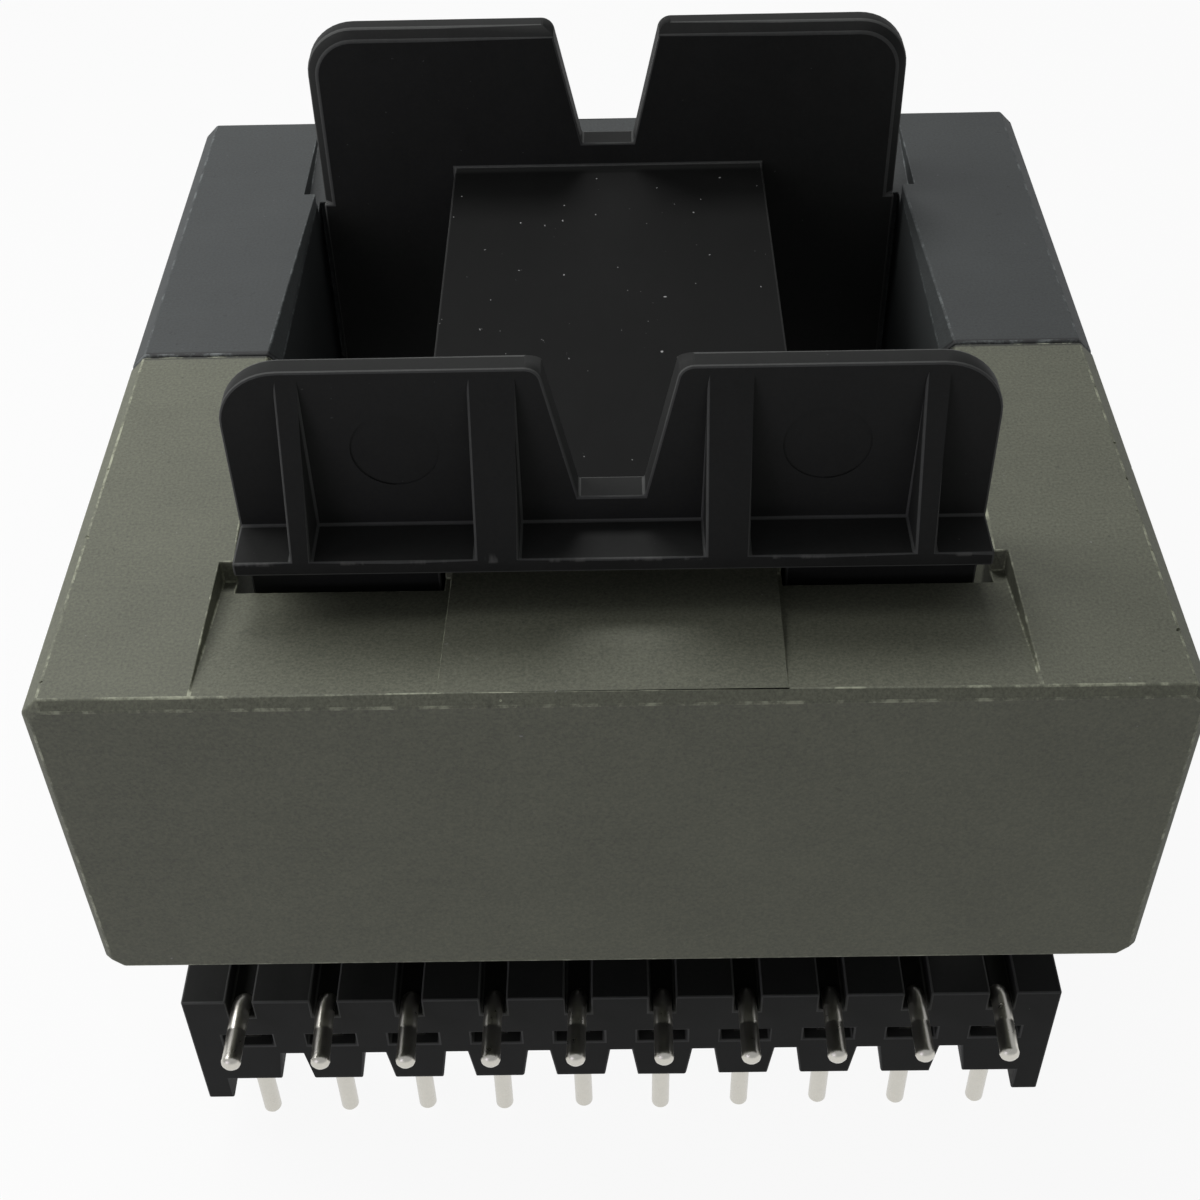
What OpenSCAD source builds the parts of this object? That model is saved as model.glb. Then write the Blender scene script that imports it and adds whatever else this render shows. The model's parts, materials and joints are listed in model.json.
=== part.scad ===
// Ferrite E core pair in a horizontal coil former with two rows of wire pins.
// X runs along the pin rows, Y along the core legs, and Z up from the pin tips.

/* [Ferrite cores] */
// Overall width across the outer legs
core_w = 55.2; // [52:0.1:60]
// Length of one core half, from its back to its mating face
core_len = 27.6; // [26:0.1:30]
// Thickness of the core
core_h = 20.7; // [18:0.1:24]
// Width of each outer leg
outer_leg_w = 8.7; // [7.5:0.1:9]
// Width of the centre leg
centre_leg_w = 16.9; // [15:0.1:17.5]
// Depth of the yoke that joins the legs
yoke_t = 8.8; // [8:0.1:10]
// How far the yoke's sloped faces fall towards the window
slope_drop = 1.2; // [0.8:0.1:2]
// How far the raised strip in the middle of the yoke falls
strip_drop = 0.7; // [0.3:0.1:0.8]
// Width of the raised strip
strip_w = 16.2; // [12:0.1:16.8]
// Bevel on the long outer edges of the legs
long_bevel = 0.85; // [0.3:0.05:1.2]
// Bevel round the back of each half
back_bevel = 0.45; // [0.2:0.05:0.8]
// Bevel on the inner edges of the outer legs
leg_bevel = 0.75; // [0.3:0.05:1]
// Bevel round the mating faces
mating_bevel = 0.12; // [0.05:0.01:0.2]

/* [Coil former] */
// Gap between the centre leg and each side of the tube
tube_side_gap = 0.2; // [0.1:0.05:0.4]
// Gap over the centre leg, which lies on the tube's floor
tube_top_gap = 0.8; // [0.3:0.1:1]
// Thickness of the tube's sides
tube_side_t = 1; // [0.8:0.1:1.2]
// Thickness of the tube's floor and roof
tube_floor_t = 1.7; // [1.2:0.1:1.9]
// Gap between an end plate and the yoke behind it
plate_yoke_gap = 0.8; // [0.4:0.1:1.2]
// Gap between an end plate and the outer leg beside it
plate_leg_gap = 0.7; // [0.4:0.1:1]
// Thickness of an end plate
plate_t = 1.6; // [1.4:0.1:2]
// Height of the wings over the core
wing_h = 11.6; // [10:0.1:14]
// Radius of the wings' outer corners
wing_r = 3; // [2:0.1:5]
// Radius of the wings' corners at the notch
notch_corner_r = 0.8; // [0.3:0.1:1.2]
// Width of the notch between the wings at the top
notch_top_w = 6.5; // [5:0.1:8]
// Width of the notch at its foot
notch_foot_w = 3.2; // [2:0.1:4.5]
// Height of the notch's foot over the tube
notch_foot_h = 1.5; // [1:0.1:3]
// Height of the bevel on the winding side of the wings
wing_bevel_h = 0.6; // [0.3:0.05:0.9]
// Depth of that bevel into the plate
wing_bevel_t = 0.5; // [0.3:0.05:0.9]
// Reach of the shelf in front of an end plate
shelf_reach = 2.8; // [2:0.05:4]
// Thickness of the shelf
shelf_t = 0.8; // [0.6:0.1:1]
// Distance from the centre to the outer gussets
gusset_outer_x = 14.9; // [13:0.1:15.5]
// Thickness of the outer gussets
gusset_outer_t = 1; // [0.8:0.1:1.6]
// Distance from the centre to the inner gussets
gusset_inner_x = 5.5; // [5:0.1:8]
// Thickness of the inner gussets
gusset_inner_t = 2.1; // [1.2:0.1:2.6]
// Distance from the wings' top to the tips of the gussets
gusset_top_gap = 0.5; // [0.3:0.1:2]
// Diameter of the round ejector marks
ejector_d = 4.2; // [3:0.1:5]
// Depth of the ejector marks
ejector_depth = 0.1; // [0.05:0.05:0.3]

/* [Terminal blocks] */
// Width of a terminal block
block_w = 51.8; // [51:0.1:56]
// Height of a block from the notches in its underside to its top
block_h = 5.5; // [5:0.1:7]
// Gap between the core and the blocks, for the wires
wire_gap = 8.7; // [7:0.1:10]
// Plastic in front of the upright legs of the pins, measured from their centres
block_front_t = 1.3; // [1.1:0.1:2]
// Height of the tabs under the block
tab_h = 2.7; // [2:0.1:4]
// Width of a tab where it leaves the block
tab_top_w = 3.7; // [3:0.1:4]
// Width of a tab at its foot
tab_foot_w = 3; // [2.4:0.1:3.6]
// Height of the corner feet below the tabs
foot_h = 2.1; // [1:0.1:3]
// Width of the corner feet
foot_w = 1.6; // [1.2:0.1:1.8]
// Width of the wire channels in the block's top
channel_w = 1.55; // [1.4:0.05:2]
// Width of the slots behind the posts
slot_w = 3; // [2:0.1:3.4]
// Height of the slots
slot_h = 1.15; // [0.8:0.05:1.4]
// Height of the slots' centre over the foot of the block
slot_rise = 1.5; // [1:0.1:2]

/* [Pins] */
// Pins in each row
pin_count = 10; // [10:2:10]
// Distance between neighbouring pins
pin_pitch = 5; // [4.8:0.05:5.1]
// Distance between the two rows of upright legs
row_spacing = 45; // [44:0.5:46]
// Diameter of the pin wire
pin_d = 1.1; // [0.8:0.05:1.2]
// Radius of the wire's bend, at its centre line
bend_r = 1.3; // [0.8:0.05:1.3]
// Side of the squared stretch that the block holds
shank_side = 0.97; // [0.8:0.01:1.05]
// Length of a post from the centre of its upright leg
post_len = 5.1; // [4:0.1:6]
// Length of the legs below the corner feet
leg_below = 3.5; // [3:0.1:5]
// Length of the point at a leg's end
point_len = 0.5; // [0.2:0.1:1]
// Diameter of the flat at the end of the point
point_d = 0.5; // [0.2:0.05:0.7]
// Bevel round the end of a post
post_bevel = 0.2; // [0.1:0.05:0.3]
// Gap between a pin and the plastic round it
pin_fit = 0.01; // [0.01:0.01:0.05]

/* [Hidden] */
PINS = [for (n = [1:pin_count]) n];
$fn = 64;
ferrite = [0.36, 0.37, 0.33];
black_plastic = [0.09, 0.09, 0.1];
tinned_wire = [0.8, 0.79, 0.75];
// How far a cutter reaches past the face it opens
past = 1;

// Heights over the pin tips
seat_z = leg_below;
tab_z = seat_z + foot_h;
block_z = tab_z + tab_h;
block_top_z = block_z + block_h;
core_z = block_top_z + wire_gap;
core_top_z = core_z + core_h;
tube_in_top_z = core_top_z + tube_top_gap;
tube_top_z = tube_in_top_z + tube_floor_t;
wing_top_z = core_top_z + wing_h;
notch_foot_z = tube_top_z + notch_foot_h;

// Places along X and Y, measured from the middle
window_x = core_w / 2 - outer_leg_w;
slope_x = window_x + leg_bevel;
window_y = core_len - yoke_t;
plate_x = window_x - plate_leg_gap;
plate_out_y = window_y - plate_yoke_gap;
plate_in_y = plate_out_y - plate_t;
shelf_y = plate_out_y + shelf_reach;
leg_y = row_spacing / 2;
block_y = leg_y + block_front_t;
post_z = block_top_z - channel_w + pin_d / 2 + pin_fit;
channel_z = post_z - pin_d / 2 - pin_fit;
tube_in_w = centre_leg_w + 2 * tube_side_gap;
tube_w = tube_in_w + 2 * tube_side_t;

// Places of the round marks on the outer panels
ejector_x = (gusset_inner_x + gusset_outer_x) / 2;
ejector_z = (tube_top_z + wing_top_z) / 2;

function pin_x(n) = (n - (pin_count + 1) / 2) * pin_pitch;

// Mirrors its children to the left too
module both_sides() {
    for (side = [0, 1]) mirror([side, 0, 0]) children();
}

// Extrudes an outline drawn in X and Z, from y_from to y_to
module along_y(y_from, y_to) {
    translate([0, y_to, 0]) rotate([90, 0, 0]) linear_extrude(y_to - y_from) children();
}

// Extrudes an outline drawn in Y and Z, from x_from to x_to
module along_x(x_from, x_to) {
    translate([x_from, 0, 0]) rotate([90, 0, 90]) linear_extrude(x_to - x_from) children();
}

// Rectangle with all four corners cut off
module bevelled_square(w, h, cut) {
    polygon([
        [-w / 2 + cut, 0], [w / 2 - cut, 0], [w / 2, cut], [w / 2, h - cut],
        [w / 2 - cut, h], [-w / 2 + cut, h], [-w / 2, h - cut], [-w / 2, cut]
    ]);
}

// Long bevel cutter: a square bar on edge, along Y
module bevel_bar(x, z, cut, y_from, y_to) {
    translate([x, 0, z]) along_y(y_from, y_to)
        rotate(45) square(cut * sqrt(2), center = true);
}

// The same, upright
module upright_bevel(x, y, cut) {
    translate([x, y, core_z - past]) rotate(45)
        linear_extrude(core_h + 2 * past) square(cut * sqrt(2), center = true);
}

// Outline of an E half from above, back at -core_len and mating faces at y = 0
module e_outline() {
    difference() {
        translate([-core_w / 2, -core_len]) square([core_w, core_len]);
        both_sides() translate([centre_leg_w / 2, -window_y])
            square([window_x - centre_leg_w / 2, window_y + past]);
    }
}

// Wedge that leaves the yoke's top sloped between x_from and x_to
module slope_wedge(x_from, x_to, drop) {
    slope_start_y = -core_len + back_bevel;
    run = -window_y - slope_start_y;
    along_x(x_from, x_to) polygon([
        [slope_start_y, core_top_z],
        [-window_y, core_top_z - drop],
        [-window_y + past, core_top_z - drop - drop * past / run],
        [-window_y + past, core_top_z + past],
        [slope_start_y, core_top_z + past]
    ]);
}

module yoke_slopes() {
    both_sides() slope_wedge(strip_w / 2, slope_x, slope_drop);
    slope_wedge(-strip_w / 2, strip_w / 2, strip_drop);
}

// One E half, with its back towards -Y
module core_half() {
    mid_z = core_z + core_h / 2;
    difference() {
        intersection() {
            translate([0, 0, core_z]) linear_extrude(core_h) e_outline();
            translate([0, 0, core_z]) along_y(-core_len, 0) bevelled_square(core_w, core_h, long_bevel);
            translate([0, -core_len, core_z]) along_x(-core_w / 2, core_w / 2) polygon([
                [0, back_bevel], [back_bevel, 0],
                [core_len - mating_bevel, 0], [core_len, mating_bevel],
                [core_len, core_h - mating_bevel], [core_len - mating_bevel, core_h],
                [back_bevel, core_h], [0, core_h - back_bevel]
            ]);
        }
        // The slopes and inner bevels are the same above and below
        for (half = [0, 1]) translate([0, 0, mid_z]) mirror([0, 0, half]) translate([0, 0, -mid_z]) {
            yoke_slopes();
            both_sides() bevel_bar(window_x, core_top_z, leg_bevel, -window_y, past);
        }
        both_sides() {
            upright_bevel(core_w / 2, -core_len, back_bevel);
            upright_bevel(core_w / 2, 0, mating_bevel);
        }
    }
}

module core_front() {
    color(ferrite) core_half();
}

module core_rear() {
    color(ferrite) mirror([0, 1, 0]) core_half();
}

// Cuts the corner at p to radius r; its edges leave p at angles a and b
module corner_cut(p, a, b, r) {
    half = (b - a) / 2;
    mid = (a + b) / 2;
    centre = p + r / sin(half) * [cos(mid), sin(mid)];
    reach = r / tan(half);
    outward = -0.01 * [cos(mid), sin(mid)];
    difference() {
        polygon([
            p + outward, p + outward + reach * [cos(a), sin(a)],
            centre, p + outward + reach * [cos(b), sin(b)]
        ]);
        translate(centre) circle(r);
    }
}

// Outline of an end plate, drawn in X and Z
module plate_outline() {
    slant = atan((notch_top_w - notch_foot_w) / 2 / (wing_top_z - notch_foot_z));
    difference() {
        translate([-plate_x, block_z]) square([2 * plate_x, wing_top_z - block_z]);
        polygon([
            [-notch_foot_w / 2, notch_foot_z], [notch_foot_w / 2, notch_foot_z],
            [notch_top_w / 2, wing_top_z], [notch_top_w / 2, wing_top_z + past],
            [-notch_top_w / 2, wing_top_z + past], [-notch_top_w / 2, wing_top_z]
        ]);
        both_sides() {
            corner_cut([plate_x, wing_top_z], 180, 270, wing_r);
            corner_cut([notch_top_w / 2, wing_top_z], -90 - slant, 0, notch_corner_r);
        }
    }
}

// Bevel on the winding side of a wing: along the top, round the corner and down the side
module wing_bevel() {
    corner = [plate_x - wing_r, wing_top_z - wing_r];
    function profile(r) = [
        [r - wing_bevel_h, 0], [r + past, 0], [r + past, wing_bevel_t + past * wing_bevel_t / wing_bevel_h]
    ];
    translate([0, -plate_in_y, 0]) {
        along_x(notch_top_w / 2 - past, corner[0])
            polygon([for (p = profile(corner[1] + wing_r)) [-p[1], p[0]]]);
        translate([corner[0], 0, corner[1]]) rotate([90, 0, 0])
            rotate_extrude(angle = 90) polygon(profile(wing_r));
        translate([0, 0, core_top_z]) linear_extrude(corner[1] - core_top_z)
                polygon([for (p = profile(plate_x)) [p[0], -p[1]]]);
    }
}

module end_plate() {
    difference() {
        along_y(-plate_out_y, -plate_in_y) plate_outline();
        both_sides() {
            wing_bevel();
            translate([ejector_x, 0, ejector_z]) along_y(-plate_out_y - past, -plate_out_y + ejector_depth)
                circle(d = ejector_d);
        }
    }
}

// Triangular rib between an end plate and its shelf
module gusset(x, t) {
    along_x(x - t / 2, x + t / 2) polygon([
        [-plate_out_y, tube_top_z - shelf_t], [-shelf_y, tube_top_z - shelf_t],
        [-shelf_y, tube_top_z], [-plate_out_y, wing_top_z - gusset_top_gap]
    ]);
}

module shelf() {
    translate([-plate_x, -shelf_y, tube_top_z - shelf_t]) cube([2 * plate_x, shelf_reach, shelf_t]);
    both_sides() {
        gusset(gusset_outer_x, gusset_outer_t);
        gusset(gusset_inner_x, gusset_inner_t);
    }
}

// Outline of a terminal block, drawn in X and Z
module block_outline() {
    end_x = block_w / 2;
    translate([-end_x, block_z]) square([block_w, block_h]);
    for (n = PINS) translate([pin_x(n), 0]) polygon([
        [-tab_foot_w / 2, tab_z], [tab_foot_w / 2, tab_z], [tab_top_w / 2, block_z], [-tab_top_w / 2, block_z]
    ]);
    both_sides() {
        translate([end_x - foot_w, seat_z]) square([foot_w, block_z - seat_z]);
        translate([pin_x(pin_count), tab_z]) square([end_x - pin_x(pin_count), tab_h]);
    }
}

// L-shaped wire: upright leg at the origin, post towards -Y, grown by clear for its hole
module wire(clear, leg_bottom, post_end) {
    r = pin_d / 2 + clear;
    side = shank_side + 2 * clear;
    translate([0, 0, leg_bottom]) cylinder(r = r, h = tab_z - leg_bottom);
    translate([-side / 2, -side / 2, tab_z]) cube([side, side, post_z - bend_r - tab_z]);
    translate([0, -bend_r, post_z - bend_r]) rotate([90, 0, 90])
        rotate_extrude(angle = 90) translate([bend_r, 0]) circle(r);
    translate([0, -bend_r, post_z]) rotate([90, 0, 0]) cylinder(r = r, h = post_end - bend_r);
}

module terminal_block() {
    difference() {
        along_y(-block_y, -plate_in_y) block_outline();
        for (n = PINS) translate([pin_x(n), 0, 0]) {
            translate([-channel_w / 2, -block_y - past, channel_z])
                cube([channel_w, block_y - plate_in_y + 2 * past, block_top_z - channel_z + past]);
            translate([-slot_w / 2, -block_y - past, block_z + slot_rise - slot_h / 2])
                cube([slot_w, block_front_t + past, slot_h]);
        }
    }
}

// End plate, shelf and block of one end, towards -Y
module former_end() {
    difference() {
        union() {
            end_plate();
            shelf();
            terminal_block();
        }
        for (n = PINS) translate([pin_x(n), 0, 0]) {
            translate([0, -leg_y, 0]) wire(pin_fit, tab_z - past, post_len);
            translate([-channel_w / 2, -plate_out_y - past, channel_z])
                cube([channel_w, plate_t + 2 * past, block_top_z - channel_z]);
        }
    }
}

module coil_former() {
    color(black_plastic) difference() {
        union() {
            translate([-tube_w / 2, -plate_in_y, core_z - tube_floor_t])
                cube([tube_w, 2 * plate_in_y, tube_top_z - core_z + tube_floor_t]);
            for (end = [0, 1]) mirror([0, end, 0]) former_end();
        }
        translate([-tube_in_w / 2, -plate_out_y - past, core_z])
            cube([tube_in_w, 2 * (plate_out_y + past), tube_in_top_z - core_z]);
    }
}

// One pin with its pointed leg and bevelled post end, in the front row
module pin(n) {
    color(tinned_wire) translate([pin_x(n), -leg_y, 0]) {
        cylinder(d1 = point_d, d2 = pin_d, h = point_len);
        wire(0, point_len, post_len - post_bevel);
        translate([0, post_bevel - post_len, post_z]) rotate([90, 0, 0])
            cylinder(r1 = pin_d / 2, r2 = pin_d / 2 - post_bevel, h = post_bevel);
    }
}

core_front();
core_rear();
coil_former();
for (n = PINS) {
    pin(n);
    mirror([0, 1, 0]) pin(n);
}
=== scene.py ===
import json
import math
import random

import bpy
from mathutils import Matrix, Vector

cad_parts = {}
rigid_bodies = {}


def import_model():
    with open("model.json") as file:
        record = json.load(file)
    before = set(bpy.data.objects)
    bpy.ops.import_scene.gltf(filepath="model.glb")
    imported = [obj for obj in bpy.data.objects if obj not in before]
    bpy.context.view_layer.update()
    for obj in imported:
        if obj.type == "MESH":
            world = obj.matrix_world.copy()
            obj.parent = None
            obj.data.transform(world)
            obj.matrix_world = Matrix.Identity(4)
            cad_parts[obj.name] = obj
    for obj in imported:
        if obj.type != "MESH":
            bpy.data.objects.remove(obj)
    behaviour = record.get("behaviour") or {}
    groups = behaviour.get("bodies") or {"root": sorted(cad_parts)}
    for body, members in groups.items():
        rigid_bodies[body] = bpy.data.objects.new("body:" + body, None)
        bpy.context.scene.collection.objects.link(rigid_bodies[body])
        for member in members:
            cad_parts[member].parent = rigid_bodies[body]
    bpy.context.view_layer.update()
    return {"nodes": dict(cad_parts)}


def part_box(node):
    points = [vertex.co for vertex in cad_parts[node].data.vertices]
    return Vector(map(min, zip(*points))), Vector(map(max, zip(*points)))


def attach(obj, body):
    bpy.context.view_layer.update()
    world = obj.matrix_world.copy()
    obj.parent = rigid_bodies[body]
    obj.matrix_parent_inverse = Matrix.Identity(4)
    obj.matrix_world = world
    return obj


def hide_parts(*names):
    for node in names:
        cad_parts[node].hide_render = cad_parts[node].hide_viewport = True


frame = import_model()
mm = 0.001

bpy.context.scene.view_settings.view_transform = "Standard"
print("stage: frame loaded")


def onlySelect(*objs):
    for other in bpy.context.view_layer.objects:
        other.select_set(False)
    for obj in objs:
        obj.select_set(True)
    bpy.context.view_layer.objects.active = objs[0]


def pick(obj, kind, test):
    # leaves the object in edit mode with the chosen vertices, edges or faces selected
    onlySelect(obj)
    bpy.ops.object.mode_set(mode="EDIT")
    bpy.ops.mesh.select_mode(type=kind)
    bpy.ops.mesh.select_all(action="DESELECT")
    bpy.ops.object.mode_set(mode="OBJECT")
    mesh = obj.data
    if kind == "VERT":
        for vert in mesh.vertices:
            vert.select = test(vert.co)
    elif kind == "EDGE":
        for edge in mesh.edges:
            edge.select = test(*[mesh.vertices[i].co for i in edge.vertices])
    else:
        for face in mesh.polygons:
            face.select = test(face.center, face.normal)
    bpy.ops.object.mode_set(mode="EDIT")


def done():
    bpy.ops.object.mode_set(mode="OBJECT")


def near(a, b, tol=0.01 * mm):
    return abs(a - b) < tol


def block(name, low, high):
    # a cube primitive added at its size and place
    low, high = Vector(low), Vector(high)
    bpy.ops.mesh.primitive_cube_add(size=1, location=(low + high) / 2, scale=high - low)
    obj = bpy.context.object
    obj.name = obj.data.name = name
    onlySelect(obj)
    bpy.ops.object.transform_apply(location=True, rotation=True, scale=True)
    return obj


def cutBy(obj, cutter, keepMaterial=False):
    # keepMaterial gives the cut faces the cutter's own material
    cut = obj.modifiers.new("cut", "BOOLEAN")
    cut.operation, cut.object = "DIFFERENCE", cutter
    cut.solver = "MANIFOLD" if keepMaterial else "EXACT"
    if keepMaterial:
        cut.material_mode = "TRANSFER"
    onlySelect(obj)
    bpy.ops.object.modifier_apply(modifier=cut.name)
    bpy.data.objects.remove(cutter)


def joinAll(objs):
    onlySelect(*objs)
    if len(objs) > 1:
        bpy.ops.object.join()
    return objs[0]


def copyOf(obj, name):
    new = obj.copy()
    new.data = obj.data.copy()
    new.name = new.data.name = name
    bpy.context.scene.collection.objects.link(new)
    return new


def smoothByAngle(obj, degrees):
    # rounds look round, and the large faces beside them stay flat
    onlySelect(obj)
    bpy.ops.object.shade_smooth_by_angle(angle=math.radians(degrees))
    even = obj.modifiers.new("even", "WEIGHTED_NORMAL")
    even.keep_sharp, even.weight = True, 90
    bpy.ops.object.modifier_apply(modifier=even.name)


class Value:
    # wraps a socket, so that sums on it add Math nodes
    def __init__(self, tree, socket=None):
        self.tree, self.socket = tree, socket

    def node(self, kind, settings=None, inputs=None, output=0):
        made = self.tree.nodes.new(kind)
        for key, setting in (settings or {}).items():
            setattr(made, key, setting)
        for key, value in (inputs or {}).items():
            if isinstance(value, Value):
                self.tree.links.new(value.socket, made.inputs[key])
            else:
                made.inputs[key].default_value = value
        return Value(self.tree, made.outputs[output])

    def maths(self, operation, *values):
        return self.node("ShaderNodeMath", {"operation": operation}, dict(enumerate((self,) + values)))

    def __add__(self, other):
        return self.maths("ADD", other)

    def __sub__(self, other):
        return self.maths("SUBTRACT", other)

    def __rsub__(self, other):
        return self * -1 + other

    def __mul__(self, other):
        return self.maths("MULTIPLY", other)

    __radd__, __rmul__ = __add__, __mul__

    def within(self, low, high):
        # 0 below low, 1 above high, eased between them
        return self.node("ShaderNodeMapRange", {"interpolation_type": "SMOOTHSTEP"},
                         {"Value": self, "From Min": low, "From Max": high})

    def clouds(self, size, detail=3.0, roughness=0.55, stretch=(1, 1, 1)):
        # noise whose lumps are about size metres across
        scale = [s / size for s in stretch]
        place = self.node("ShaderNodeMapping", {}, {"Vector": self, "Scale": scale})
        return self.node("ShaderNodeTexNoise", {}, {"Vector": place, "Scale": 1.0, "Detail": detail,
                                                    "Roughness": roughness})

    def axis(self, name):
        return self.node("ShaderNodeSeparateXYZ", {}, {"Vector": self}, name)

    def distance(self):
        return self.maths("ABSOLUTE")

    def toned(self, grey, spread, tint):
        # a grey that is darker where this value is low and paler where it is high
        return self.mixed(shade(grey * (1 - spread), tint), shade(grey * (1 + spread), tint))

    def mixed(self, first, second):
        # a colour between two others, by this value
        return self.node("ShaderNodeMix", {"data_type": "RGBA"}, {0: self, 6: first, 7: second}, 2)


def newMaterial(name, shader):
    material = bpy.data.materials.new(name)
    material.use_nodes = True
    tree = material.node_tree
    surface = tree.nodes["Principled BSDF"]
    start = Value(tree)
    place = start.node("ShaderNodeTexCoord", {}, {}, "Object")
    for key, value in shader(start, place).items():
        if isinstance(value, Value):
            tree.links.new(value.socket, surface.inputs[key])
        else:
            surface.inputs[key].default_value = value
    return material


def bumped(start, height, depth, strength=1.0):
    return start.node("ShaderNodeBump", {}, {"Strength": strength, "Distance": depth, "Height": height})


def shade(grey, tint=(1, 1, 1)):
    return [grey * tint[0], grey * tint[1], grey * tint[2], 1]


ferriteLook = {
    "frontTint": (1.0, 1.04, 0.76),
    "rearTint": (0.90, 1.0, 1.0),
    "frontGrey": 0.150,
    "rearGrey": 0.050,
    "spread": 0.38,              # how far the tone strays from the grey
    "grain": (0.16 * mm, 1.9),   # size and weight of each noise
    "cloud": (7 * mm, 0.5),
    "streak": (1.2 * mm, 0.2),
    "speck": (0.35 * mm, 0.55),
    "pit": (0.5 * mm, 0.5),
    "chipAndGlint": (1.1 * mm, 0.75),
    "pale": 3.2,                 # times the grey, for specks, and for pale chips on the edges that are partly wear and partly painted highlight
    "dark": 0.45,                # times the grey, in pits
    "paintedGapShade": 0.06,           # times the grey, painted shade in the gap between the halves
    "shadedGap": 0.24 * mm,          # half the width of the painted shade line between the halves
    "shadedGapRagged": 0.05 * mm,
    "roughness": 0.66,
    "bump": 0.02 * mm,
    # raises the rounds' grey: wear, and a painted highlight along the edges
    "wornHighlitLevel": 1.15,
}


def ferriteShader(tint, level, wearAndHighlight):
    look = ferriteLook

    def shader(start, place):
        size = {key: look[key][0] for key in ("grain", "cloud", "streak", "speck", "pit", "chipAndGlint")}
        weight = {key: look[key][1] for key in size}
        grain = place.clouds(size["grain"], 2.0, 0.7)
        cloud = place.clouds(size["cloud"], 4.0, 0.6)
        streak = place.clouds(size["streak"], 3.0, 0.6, (0.25, 1, 1))
        speck = place.clouds(size["speck"], 1.0, 0.4).within(0.80, 0.86)
        pit = place.clouds(size["pit"], 2.0, 0.5).within(0.30, 0.22)
        tone = ((grain - 0.5) * weight["grain"] + (cloud - 0.5) * weight["cloud"]
                + (streak - 0.5) * weight["streak"] + 0.5)
        colour = tone.toned(level, look["spread"], tint)
        colour = (speck * weight["speck"]).mixed(colour, shade(level * look["pale"]))
        colour = (pit * weight["pit"]).mixed(colour, shade(level * look["dark"], tint))
        # painted shade: a dark line where the halves meet, at y = 0, standing in for the shadow in the
        # gap
        apart = place.axis("Y").distance() + (grain - 0.5) * look["shadedGapRagged"]
        shadedGap = 1 - apart.within(look["shadedGap"], look["shadedGap"] * 1.8)
        colour = (shadedGap * 0.85).mixed(colour, shade(level * look["paintedGapShade"]))
        height = grain * 0.5 + speck * 0.6 - pit
        roughness = (grain - 0.5) * 0.2 + look["roughness"]
        # the rounds' copy: pale chips on the edges, partly wear and partly painted highlight
        if wearAndHighlight:
            chipAndGlint = place.clouds(size["chipAndGlint"], 4.0, 0.7).within(0.46, 0.66)
            colour = (chipAndGlint * weight["chipAndGlint"]).mixed(colour, shade(level * look["pale"], tint))
            roughness = roughness - chipAndGlint * 0.12
        return {"Base Color": colour, "Roughness": roughness, "Specular IOR Level": 0.5,
                "Normal": bumped(start, height, look["bump"], 0.6)}

    return shader


ferriteMaterials = {}
for side in ("front", "rear"):
    tint, level = ferriteLook[side + "Tint"], ferriteLook[side + "Grey"]
    wornHighlitLevel = level * ferriteLook["wornHighlitLevel"]
    # the second, paler material goes on the rounds and chips: wear with a painted highlight along the
    # edges
    ferriteMaterials[side] = (
        newMaterial("groundFerrite" + side.title(), ferriteShader(tint, level, False)),
        newMaterial("wornHighlitFerriteEdge" + side.title(), ferriteShader(tint, wornHighlitLevel, True)),
    )

ferriteHalf = {
    "outerLeg": 8.7 * mm,
    "centreLeg": 16.9 * mm,
    "yoke": 8.8 * mm,
    "stripWidth": 16.2 * mm,
    "stripDrop": 0.7 * mm,
    "slopeDrop": 1.2 * mm,
    "slopeEdge": 0.75 * mm,     # from the window's side to the slope's end
    "longBevel": 0.85 * mm,
    "backBevel": 0.45 * mm,
    "legBevel": 0.75 * mm,
    "matingBevel": 0.13 * mm,
    "rounding": 0.09 * mm,
    "chips": 90,
    "chipSize": (0.12 * mm, 0.5 * mm),
    "chipInset": (0.10 * mm, 0.12 * mm),   # of the rows along the back's edges, in y and z
    "chipSeed": 7,
}


def yokeWedges(low, high, xFrom, xTo, drop, settings):
    # cutters over and under one stretch of the yoke, whose faces fall towards the window
    wedges = []
    yBack, yWindow = low.y + settings["backBevel"], low.y + settings["yoke"]
    yEnd = yWindow + 1 * mm
    fall = drop * (yEnd - yBack) / (yWindow - yBack)
    for zFace, out in ((high.z, 1), (low.z, -1)):
        zs = sorted((zFace, zFace + out * mm))
        wedge = block("wedge", (xFrom, yBack, zs[0]), (xTo, yEnd, zs[1]))
        pick(wedge, "VERT", lambda co: near(co.y, yEnd) and near(co.z, zFace))
        bpy.ops.transform.translate(value=(0, 0, -out * fall))
        done()
        wedges.append(wedge)
    return wedges


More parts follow.
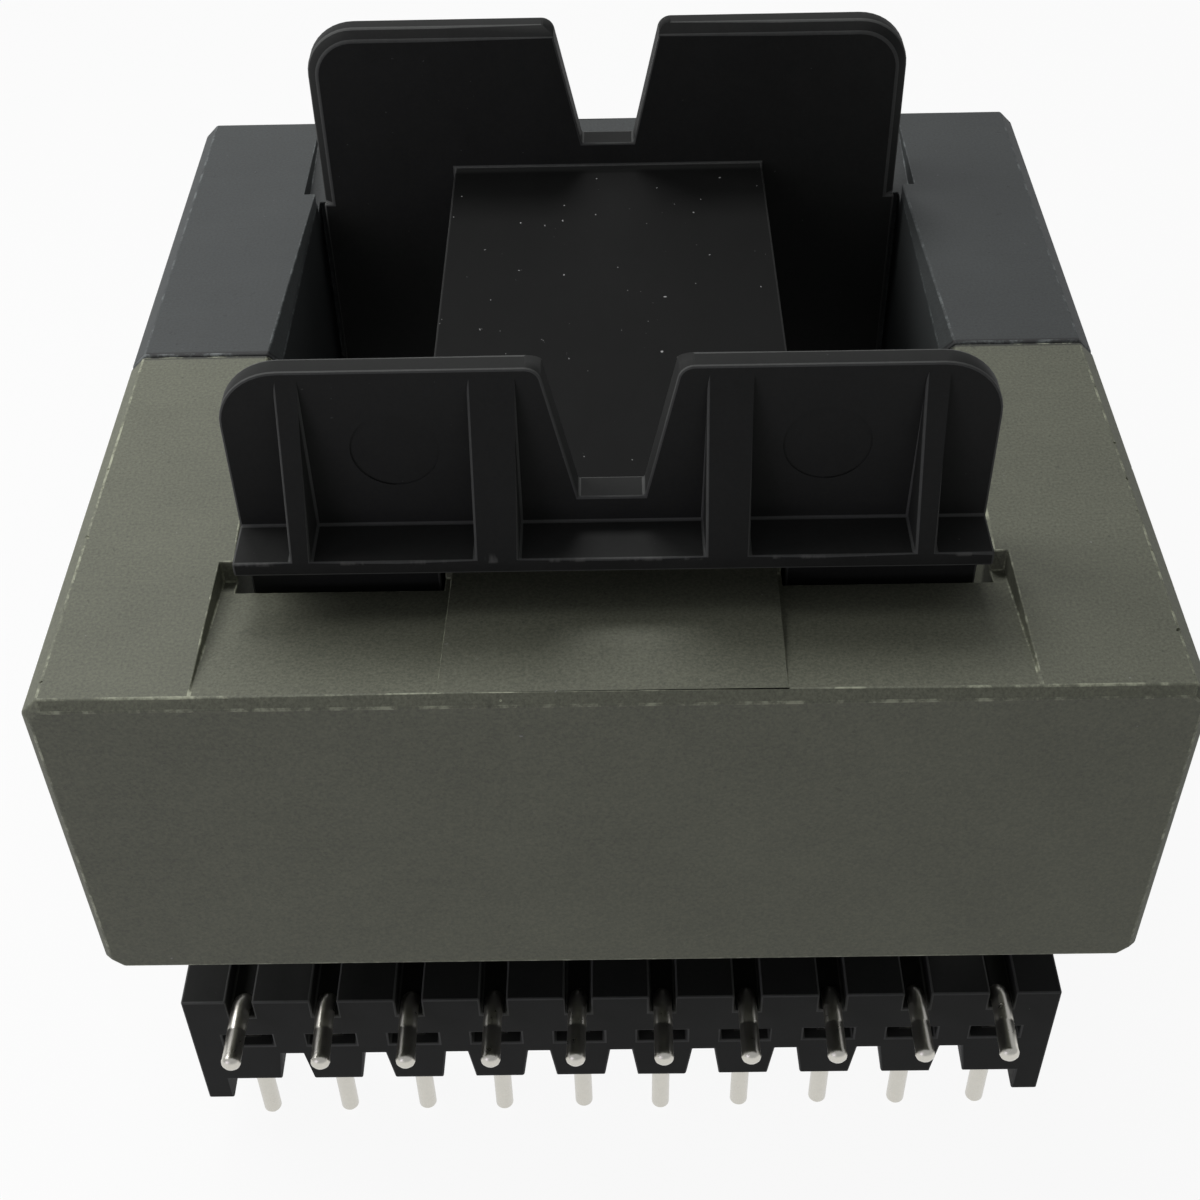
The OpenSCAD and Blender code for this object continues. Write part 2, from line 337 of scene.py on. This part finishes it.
def makeFerriteHalf(low, high):
    # the half whose back is towards -Y, between its box's corners
    s = ferriteHalf
    half = high.x
    window, middle = half - s["outerLeg"], s["centreLeg"] / 2
    yWindow = low.y + s["yoke"]
    e = block("ferriteHalf", low, (high.x, yWindow, high.z))
    pick(e, "FACE", lambda centre, normal: True)
    for x in (-window, -middle, middle, window):
        bpy.ops.mesh.select_all(action="SELECT")
        bpy.ops.mesh.bisect(plane_co=(x, 0, 0), plane_no=(1, 0, 0))
    done()
    pick(e, "FACE", lambda c, n: n.y > 0.9 and (abs(c.x) > window or abs(c.x) < middle))
    bpy.ops.mesh.extrude_region_move(TRANSFORM_OT_translate={"value": (0, high.y - yWindow, 0)})
    bpy.ops.mesh.select_all(action="SELECT")
    bpy.ops.mesh.dissolve_limited(angle_limit=0.01)
    done()

    def faceEdge(a, b):
        return near(a.z, b.z) and (near(a.z, high.z) or near(a.z, low.z))

    bevels = (
        ("longBevel", lambda a, b: faceEdge(a, b) and near(abs(a.x), half) and near(a.x, b.x)),
        ("legBevel", lambda a, b: faceEdge(a, b) and near(abs(a.x), window) and near(a.x, b.x)),
        ("backBevel", lambda a, b: near(a.y, low.y) and near(b.y, low.y)),
        ("matingBevel", lambda a, b: near(a.y, high.y) and near(b.y, high.y)),
    )
    for name, test in bevels:
        pick(e, "EDGE", test)
        bpy.ops.mesh.bevel(offset=s[name], segments=1, clamp_overlap=False)
        done()

    strip, slopeEnd = s["stripWidth"] / 2, window + s["slopeEdge"]
    over = strip + 0.01 * mm     # a little past the slopes, so that no skin is left between the cuts
    cutBy(e, joinAll(yokeWedges(low, high, -slopeEnd, -strip, s["slopeDrop"], s)
                     + yokeWedges(low, high, strip, slopeEnd, s["slopeDrop"], s)))
    cutBy(e, joinAll(yokeWedges(low, high, -over, over, s["stripDrop"], s)))
    return e


def roundEdges(obj, width, degrees, slotIndex, skip):
    # a small round on every sharp edge but those that skip names by their ends
    pick(obj, "EDGE", lambda a, b: False)
    bpy.ops.mesh.edges_select_sharp(sharpness=math.radians(degrees))
    done()
    verts = obj.data.vertices
    for edge in obj.data.edges:
        if edge.select and skip(*[verts[i].co for i in edge.vertices]):
            edge.select = False
    for vert in verts:
        vert.select = False
    bpy.ops.object.mode_set(mode="EDIT")
    # the round's faces take the given slot, whose paler material paints a highlight along the edges,
    # with wear on the ferrite
    bpy.ops.mesh.bevel(offset=width, segments=2, clamp_overlap=False, material=slotIndex)
    done()


def slopeEdge(a, b):
    # the shallow steps beside the slopes stay crisp
    strip = ferriteHalf["stripWidth"] / 2
    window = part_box("core_front")[1][0] - ferriteHalf["outerLeg"]
    inner, outer = sorted((abs(a.x), abs(b.x)))
    atStrip = strip - inner < 0.3 * mm and outer - strip < 0.3 * mm
    atWindow = inner > window - 0.5 * mm and outer < window + 1 * mm
    return atStrip or atWindow


def chipEdges(obj, material, low, high):
    # knocks small flakes off the outer edges, as fired ferrite loses them
    s = ferriteHalf
    rng = random.Random(s["chipSeed"])
    insetY, insetZ = s["chipInset"]
    side, bevel = high.x, s["longBevel"]
    flat = side - bevel
    yRow, zTop, zLow = low.y + insetY, high.z - insetZ, low.z + insetZ
    rows = [   # each edge's ends and its share of the chips
        ((-flat, yRow, zTop), (flat, yRow, zTop), 0.38),
        ((-side, low.y, high.z - bevel), (-side, high.y, high.z - bevel), 0.10),
        ((-flat, low.y, high.z), (-flat, high.y, high.z), 0.12),
        ((side, low.y, high.z - bevel), (side, high.y, high.z - bevel), 0.10),
        ((flat, low.y, high.z), (flat, high.y, high.z), 0.12),
        ((-flat, yRow, zLow), (flat, yRow, zLow), 0.18),
    ]
    flakes = []
    for start, end, share in rows:
        start, end = Vector(start), Vector(end)
        count = int(share * s["chips"])
        for n in range(count):
            size = s["chipSize"][0] + (s["chipSize"][1] - s["chipSize"][0]) * rng.random() ** 2.5
            along = (n + rng.uniform(0.25, 0.75)) / count
            bpy.ops.mesh.primitive_ico_sphere_add(
                subdivisions=2, radius=size / 2, location=start.lerp(end, along),
                rotation=[rng.uniform(0, 3) for axis in range(3)])
            flake = bpy.context.object
            flake.scale = (1, rng.uniform(0.5, 0.9), rng.uniform(0.35, 0.6))
            flakes.append(flake)
    onlySelect(*flakes)
    bpy.ops.object.transform_apply(location=True, rotation=True, scale=True)
    cutter = joinAll(flakes)
    # the broken faces take the paler edge material, with its painted highlight
    cutter.data.materials.append(material)
    cutBy(obj, cutter, True)


def turnOutward(obj):
    pick(obj, "FACE", lambda centre, normal: True)
    bpy.ops.mesh.normals_make_consistent(inside=False)
    done()


def makeCores():
    low, high = [Vector(v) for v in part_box("core_front")]
    front = makeFerriteHalf(low, high)
    rear = copyOf(front, "ferriteHalfRear")
    front.name = front.data.name = "ferriteHalfFront"
    onlySelect(rear)
    rear.scale = (1, -1, 1)
    bpy.ops.object.transform_apply(location=False, rotation=False, scale=True)
    turnOutward(rear)
    for obj, side, node in ((front, "front", "core_front"), (rear, "rear", "core_rear")):
        obj.data.materials.clear()
        for material in ferriteMaterials[side]:
            obj.data.materials.append(material)
        roundEdges(obj, ferriteHalf["rounding"], 25, 1, slopeEdge)
        if side == "front":
            chipEdges(obj, ferriteMaterials[side][1], low, high)
        smoothByAngle(obj, 25)
        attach(obj, "root")
        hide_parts(node)


makeCores()
print("stage: ferrite halves")


mouldedLook = {
    "grey": 0.034,
    "tint": (0.98, 1.0, 0.97),
    "highlitEdgeGrey": 0.11,            # painted highlight: the rounds are paler than the faces
    "spread": 0.4,
    "roughness": 0.58,
    "bump": 0.012 * mm,
    "dustGrey": 0.22,
    "tubeTop": 45.7 * mm,
    "tubeEnds": (15.5 * mm, 16 * mm),
    # painted shade: the near black that the tube's top is darkened towards
    "tubeShadeGrey": 0.002,
    "flakeGrey": 0.55,
    "shelfEdge": 20.65 * mm,
    "flashWidth": 0.12 * mm,
    "flashBelow": (0.22 * mm, 0.06 * mm),   # under the tube's top
    # painted highlight: the pale grey of the flash's burrs catching the light
    "flashHighlightGrey": 0.20,
    "flashHighlightTint": (1.0, 1.0, 0.95),
}


def mouldedShader(edge):
    look = mouldedLook

    def shader(start, place):
        fine = place.clouds(0.22 * mm, 2.0, 0.6)
        flow = place.clouds(5 * mm, 4.0, 0.6, (1, 1, 0.5))
        smear = place.clouds(1.4 * mm, 3.0, 0.6, (1, 0.4, 1))
        dust = place.clouds(0.28 * mm, 1.0, 0.3).within(0.81, 0.87)
        # the rounds' copy takes the paler grey, a painted highlight along the edges
        grey = look["highlitEdgeGrey"] if edge else look["grey"]
        tone = (fine - 0.5) * 0.3 + (flow - 0.5) * 0.4 + (smear - 0.5) * 0.25 + 0.5
        colour = tone.toned(grey, look["spread"], look["tint"])
        colour = (dust * 0.35).mixed(colour, shade(look["dustGrey"]))
        # painted shade: the tube's top is made much darker than the rest, with a few flakes that
        # settled on it
        fromMiddle, above = place.axis("Y").distance(), place.axis("Z") - look["tubeTop"]
        onTube = 1 - above.distance().within(0.05 * mm, 0.1 * mm)
        onTube = onTube * (1 - fromMiddle.within(*look["tubeEnds"]))
        flakes = place.clouds(0.42 * mm, 2.0, 0.5, (1, 0.7, 1)).within(0.735, 0.775) * onTube
        colour = (onTube * 0.72).mixed(colour, shade(look["tubeShadeGrey"]))
        colour = (flakes * 0.8).mixed(colour, shade(look["flakeGrey"]))
        # painted highlight: pale flash along the shelves' outer edges, the burrs shown as if catching
        # the light
        lip = fromMiddle.within(look["shelfEdge"], look["shelfEdge"] + look["flashWidth"])
        lip = lip * above.within(-look["flashBelow"][0], -look["flashBelow"][1])
        flashHighlight = place.clouds(2.2 * mm, 4.0, 0.75, (1, 0.3, 0.3)).within(0.52, 0.62) * lip
        colour = (flashHighlight * 0.6).mixed(colour, shade(look["flashHighlightGrey"], look["flashHighlightTint"]))
        roughness = (flow - 0.5) * 0.22 + (fine - 0.5) * 0.12 + look["roughness"]
        height = fine * 0.6 + smear * 0.5 + dust
        return {"Base Color": colour, "Roughness": roughness, "Specular IOR Level": 0.06,
                "Normal": bumped(start, height, look["bump"], 0.5)}

    return shader


mouldedMaterial = newMaterial("blackThermoset", mouldedShader(False))
# the paler copy for the rounds paints a highlight along the edges
mouldedHighlitEdgeMaterial = newMaterial("blackThermosetHighlitEdge", mouldedShader(True))

former = {
    "rounding": 0.12 * mm,
    "marks": 10.2 * mm,          # the round marks' distance from the middle
    "markHeight": 50.25 * mm,
    "markRadius": 2.1 * mm,
    "splitHeight": 32 * mm,
    "pitch": 5 * mm,
    "holeReach": 0.7 * mm,       # in x, from a hole's centre
    "holeRows": (21.5 * mm, 24.5 * mm),
    "holeTop": 13 * mm,
    "notchLow": 53.5 * mm,
    "notchReach": (4.6 * mm, 17 * mm),
}


def awkwardEdge(a, b):
    # the wire holes, the faint round marks, and the ends of the wings' inner bevels beside the notches
    s = former

    def atHole(p):
        nearest = (round(p.x / s["pitch"] - 0.5) + 0.5) * s["pitch"]
        inRow = s["holeRows"][0] < abs(p.y) < s["holeRows"][1]
        return abs(p.x - nearest) < s["holeReach"] and inRow and p.z < s["holeTop"]

    def atNotch(p):
        reachX, reachY = s["notchReach"]
        return p.z > s["notchLow"] and abs(p.x) < reachX and abs(p.y) < reachY

    def atMark(p):
        reach = math.hypot(abs(p.x) - s["marks"], p.z - s["markHeight"])
        return abs(reach - s["markRadius"]) < 0.15 * mm

    return any(test(a) and test(b) for test in (atHole, atNotch, atMark))


def makeFormer():
    obj = copyOf(frame["nodes"]["coil_former"], "mouldedFormer")
    obj.data.materials.clear()
    obj.data.materials.append(mouldedMaterial)
    obj.data.materials.append(mouldedHighlitEdgeMaterial)
    pick(obj, "VERT", lambda co: True)
    bpy.ops.mesh.remove_doubles(threshold=0.002 * mm)
    bpy.ops.mesh.select_all(action="SELECT")
    bpy.ops.mesh.dissolve_limited(angle_limit=math.radians(0.6))
    # faces with holes are split, so that each is a simple outline
    marks = former["marks"]
    splits = [((x, 0, 0), (1, 0, 0)) for x in (0, marks, -marks)]
    for place, normal in splits + [((0, 0, former["splitHeight"]), (0, 0, 1))]:
        bpy.ops.mesh.select_all(action="SELECT")
        bpy.ops.mesh.bisect(plane_co=place, plane_no=normal)
    done()
    roundEdges(obj, former["rounding"], 30, 1, awkwardEdge)
    smoothByAngle(obj, 30)
    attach(obj, "root")
    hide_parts("coil_former")


makeFormer()
print("stage: coil former")


pinLook = {"grey": 0.62, "spread": 0.2, "tint": (1.0, 0.97, 0.88), "roughness": 0.31, "bump": 0.03 * mm}


def tinnedShader(start, place):
    look = pinLook
    lumps = place.clouds(0.5 * mm, 3.0, 0.6)
    fine = place.clouds(0.12 * mm, 2.0, 0.6)
    tone = (lumps - 0.5) * 0.5 + (fine - 0.5) * 0.3 + 0.5
    return {"Base Color": tone.toned(look["grey"], look["spread"], look["tint"]), "Metallic": 1.0,
            "Roughness": (lumps - 0.5) * 0.2 + look["roughness"],
            "Normal": bumped(start, lumps * 0.7 + fine * 0.3, look["bump"], 0.4)}


tinnedMaterial = newMaterial("tinnedWire", tinnedShader)

wirePin = {
    "sides": 24,
    "radius": 0.55 * mm,
    "bend": 1.3 * mm,
    "point": 0.5 * mm,
    "pointRadius": 0.25 * mm,
    "groovePlace": 2.6 * mm,     # from the upright leg's centre
    "grooveWidth": 0.18 * mm,
    "grooveDepth": 0.93,
    "ballLength": 1.1,           # in radii
    "ball": ((0.35, 1.05), (0.35, 0.88), (0.25, 0.68), (0.13, 0.4)),   # length and growth of each ring
    "drift": 0.06 * mm,          # of a leg's point
    "cutShort": 0.25 * mm,
    "swing": 1.3,                # degrees, of a post about its leg
    "seed": 11,
}


def makePin(low, high):
    s = wirePin
    r = s["radius"]
    x, yLeg = (low.x + high.x) / 2, high.y - r
    zPost = high.z - r
    bpy.ops.mesh.primitive_circle_add(vertices=s["sides"], radius=s["pointRadius"], fill_type="NGON",
                                      location=(x, yLeg, low.z))
    obj = bpy.context.object
    obj.name = obj.data.name = "wirePin"
    onlySelect(obj)
    bpy.ops.object.transform_apply(location=True, rotation=True, scale=True)
    pick(obj, "FACE", lambda centre, normal: True)

    def push(value, grow=1.0):
        bpy.ops.mesh.extrude_region_move(TRANSFORM_OT_translate={"value": value})
        if grow != 1.0:
            bpy.ops.transform.resize(value=(grow, grow, grow))

    push((0, 0, s["point"]), r / s["pointRadius"])
    push((0, 0, zPost - s["bend"] - low.z - s["point"]))
    bpy.ops.mesh.spin(steps=8, angle=-math.pi / 2, axis=(1, 0, 0),
                      center=(x, yLeg - s["bend"], zPost - s["bend"]))
    push((0, -(s["groovePlace"] - s["bend"]), 0))
    push((0, -s["grooveWidth"] / 2, 0), s["grooveDepth"])
    push((0, -s["grooveWidth"] / 2, 0), 1 / s["grooveDepth"])
    ballStart = low.y + s["ballLength"] * r
    push((0, ballStart - (yLeg - s["groovePlace"] - s["grooveWidth"]), 0))
    for step, grow in s["ball"]:
        push((0, -step * r, 0), grow)
    done()
    turnOutward(obj)
    return obj


def makePins():
    s = wirePin
    low, high = [Vector(v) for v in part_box("pin_front_1")]
    first = makePin(low, high)
    first.data.materials.append(tinnedMaterial)
    smoothByAngle(first, 50)
    rng = random.Random(s["seed"])
    centreX, legY = (low.x + high.x) / 2, high.y - s["radius"]
    leg = Matrix.Translation((centreX, legY, 0))
    for side, turn in (("front", 1), ("rear", -1)):
        for n in range(1, 11):
            node = "pin_%s_%d" % (side, n)
            pin = copyOf(first, "wire_%s_%d" % (side, n))
            x = sum(corner[0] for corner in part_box(node)) / 2
            # bent and cut by machine, so no two point quite the same way or end at the same height,
            # but the first of each row keeps its full length
            pick(pin, "VERT", lambda co: co.z < 1 * mm)
            aside = [rng.uniform(-s["drift"], s["drift"]) for axis in range(2)]
            short = abs(rng.gauss(0, s["cutShort"])) * (n > 1)
            bpy.ops.transform.translate(value=(*aside, short))
            done()
            onlySelect(pin)
            swing = Matrix.Rotation(math.radians(rng.gauss(0, s["swing"])), 4, "Z")
            mirror = Matrix.Scale(turn, 4, (0, 1, 0))
            along = Matrix.Translation((x - centreX, 0, 0))
            pin.matrix_world = along @ mirror @ leg @ swing @ leg.inverted()
            bpy.ops.object.transform_apply(location=True, rotation=True, scale=True)
            if turn < 0:
                turnOutward(pin)
            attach(pin, "root")
            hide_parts(node)
    bpy.data.objects.remove(first)


makePins()
print("stage: wire pins")


studio = {
    "floorSize": 4,
    "floorGrey": 0.8,
    "floorGlow": 0.93,           # how much of the floor's shade the camera and the metal don't see
    "ambientColour": (0.97, 0.98, 1, 1),
    "ambient": 0.14,
    "ambientInMetal": 0.4,       # added where it is mirrored
    "lamps": {                   # place, target, size, power and colour
        "keyBehind": ((-0.06, 0.26, 0.48), (0, 0, 0.04), (0.20, 0.14), 0.92, (1, 1, 1)),
        "nearLeft": ((-0.10, 0.02, 0.125), (-0.02, 0, 0.04), (0.08, 0.08), 0.075, (1, 1, 1)),
        "fillFront": ((-0.13, -0.17, 0.07), (0, 0, 0.025), (0.10, 0.08), 0.030, (1, 0.93, 1.1)),
    },
}


def makeFloor():
    # white to the camera, but it keeps the object's shadow
    material = bpy.data.materials.new("paleFloor")
    material.use_nodes = True
    tree = material.node_tree
    tree.nodes.clear()
    start = Value(tree)
    camera = start.node("ShaderNodeLightPath", {}, {}, "Is Camera Ray")
    glossy = start.node("ShaderNodeLightPath", {}, {}, "Is Glossy Ray")
    matt = start.node("ShaderNodeBsdfDiffuse", {}, {"Color": shade(studio["floorGrey"])})
    glow = start.node("ShaderNodeEmission", {}, {"Color": shade(1), "Strength": 1.0})
    seen = camera.maths("MAXIMUM", glossy) * studio["floorGlow"]
    both = start.node("ShaderNodeMixShader", {}, {0: seen, 1: matt, 2: glow})
    out = tree.nodes.new("ShaderNodeOutputMaterial")
    tree.links.new(both.socket, out.inputs["Surface"])
    bpy.ops.mesh.primitive_plane_add(size=studio["floorSize"], location=(0, 0, 0))
    floor = bpy.context.object
    floor.name = "floor"
    floor.data.materials.append(material)


def makeLight(name, place, target, size, power, colour):
    lamp = bpy.data.lights.new(name, "AREA")
    lamp.shape, lamp.size, lamp.size_y = "RECTANGLE", size[0], size[1]
    lamp.energy, lamp.color = power, colour
    obj = bpy.data.objects.new(name, lamp)
    bpy.context.scene.collection.objects.link(obj)
    aim = (Vector(target) - Vector(place)).to_track_quat("-Z", "Y")
    obj.matrix_world = Matrix.Translation(place) @ aim.to_matrix().to_4x4()


def makeWorld():
    world = bpy.data.worlds.new("studio")
    bpy.context.scene.world = world
    world.use_nodes = True
    tree = world.node_tree
    tree.nodes.clear()
    start = Value(tree)
    camera = start.node("ShaderNodeLightPath", {}, {}, "Is Camera Ray")
    glossy = start.node("ShaderNodeLightPath", {}, {}, "Is Glossy Ray")
    strength = glossy * studio["ambientInMetal"] + studio["ambient"]
    ambient = start.node("ShaderNodeBackground", {},
                         {"Color": studio["ambientColour"], "Strength": strength})
    seen = start.node("ShaderNodeBackground", {}, {"Color": shade(1), "Strength": 1.0})
    both = start.node("ShaderNodeMixShader", {}, {0: camera, 1: ambient, 2: seen})
    out = tree.nodes.new("ShaderNodeOutputWorld")
    tree.links.new(both.socket, out.inputs["Surface"])


cameraSetting = {
    "place": (0.29 * mm, -83.75 * mm, 101.98 * mm),
    "pitch": 43.12,              # degrees, downward
    "yaw": -0.85,
    "roll": -1.43,
    "lens": 53.17,
}


def makeCamera():
    s = cameraSetting
    pitch, yaw, roll = [math.radians(s[key]) for key in ("pitch", "yaw", "roll")]
    ahead = Vector((math.sin(yaw) * math.cos(pitch), math.cos(yaw) * math.cos(pitch), -math.sin(pitch)))
    level = Vector((math.cos(yaw), -math.sin(yaw), 0))
    upright = level.cross(ahead)
    right = level * math.cos(roll) + upright * math.sin(roll)
    up = upright * math.cos(roll) - level * math.sin(roll)
    data = bpy.data.cameras.new("camera")
    data.lens, data.sensor_width = s["lens"], 36
    data.clip_start = 0.005
    camera = bpy.data.objects.new("camera", data)
    bpy.context.scene.collection.objects.link(camera)
    turn = Matrix((right, up, -ahead)).transposed().to_4x4()
    camera.matrix_world = Matrix.Translation(s["place"]) @ turn
    bpy.context.scene.camera = camera


makeFloor()
makeWorld()
for name, settings in studio["lamps"].items():
    makeLight(name, *settings)
makeCamera()
print("stage: floor, lights and camera")
